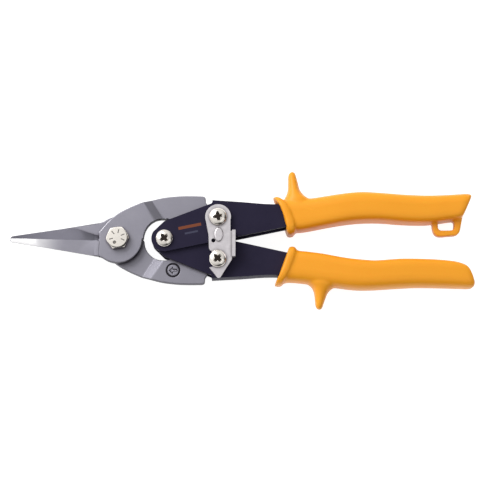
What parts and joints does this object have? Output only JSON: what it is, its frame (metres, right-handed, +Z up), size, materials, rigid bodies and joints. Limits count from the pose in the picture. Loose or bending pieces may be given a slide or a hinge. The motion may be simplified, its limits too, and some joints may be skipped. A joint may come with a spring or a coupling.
{
  "type": "aviation snips",
  "caption": "Compound-action straight-cut metal snips with forged blades, channel handles, a thumb latch and moulded grips, stored closed and latched.",
  "frame": {"origin": "blade pivot axis at the flat end face of the pivot bolt, which is the lowest point of the tool as it lies flat", "axes": "+X from the blade tips towards the ends of the grips, +Y towards the upper handle, +Z up, out of the surface that the tool lies on, on the latch side"},
  "size_m": [0.2498, 0.0752, 0.0224],
  "materials": {
    "forged_steel": "satin, ground",
    "black_paint": "semi-gloss",
    "yellow_grip": "semi-matt moulded vinyl",
    "zinc_plate": "satin",
    "bright_plate": "bright",
    "spring_steel": "drawn wire"
  },
  "bodies": {
    "upper_handle": {"upper_handle": "black_paint", "upper_grip": "yellow_grip", "upper_link_screw": "bright_plate", "upper_link_nut": "zinc_plate", "upper_link_bush": "zinc_plate", "upper_tail_spacer": "zinc_plate", "latch_washer": "zinc_plate", "handle_pivot_screw": "bright_plate", "handle_pivot_nut": "zinc_plate", "handle_pivot_sleeve": "zinc_plate", "return_spring": "spring_steel"},
    "lower_handle": {"lower_handle": "black_paint", "lower_grip": "yellow_grip", "lower_link_screw": "bright_plate", "lower_link_nut": "zinc_plate", "lower_link_bush": "zinc_plate", "lower_tail_spacer": "zinc_plate", "latch_post_collar": "zinc_plate"},
    "near_blade": {"near_blade": "forged_steel", "blade_bolt": "bright_plate", "blade_lock_washer": "zinc_plate", "blade_nut": "zinc_plate"},
    "far_blade": {"far_blade": "forged_steel"},
    "latch": {"latch": "zinc_plate"}
  },
  "joints": [
    {"name": "handle_pivot", "type": "hinge", "parent": "upper_handle", "child": "lower_handle", "pos_m": [0.0251, 0, 0.0095], "axis": [0, 0, -1], "range_deg": [0, 36], "deforming": ["return_spring"]},
    {"name": "upper_link_pivot", "type": "hinge", "parent": "upper_handle", "child": "near_blade", "pos_m": [0.0538, 0.0113, 0.0095], "axis": [0, 0, -1], "range_deg": [0, 9]},
    {"name": "blade_pivot", "type": "hinge", "parent": "near_blade", "child": "far_blade", "pos_m": [0, 0, 0.0095], "axis": [0, 0, -1], "range_deg": [0, 19]},
    {"name": "latch_pivot", "type": "hinge", "parent": "upper_handle", "child": "latch", "pos_m": [0.0538, 0.0113, 0.0095], "axis": [0, 0, 1], "range_deg": [0, 60.5]}
  ],
  "couplings": [
    {"joint": "upper_link_pivot", "follows": "handle_pivot", "ratio": 0.24581},
    {"joint": "blade_pivot", "follows": "handle_pivot", "ratio": 0.5084},
    {"joint": "latch_pivot", "follows": "handle_pivot", "ratio": 1.6667}
  ]
}
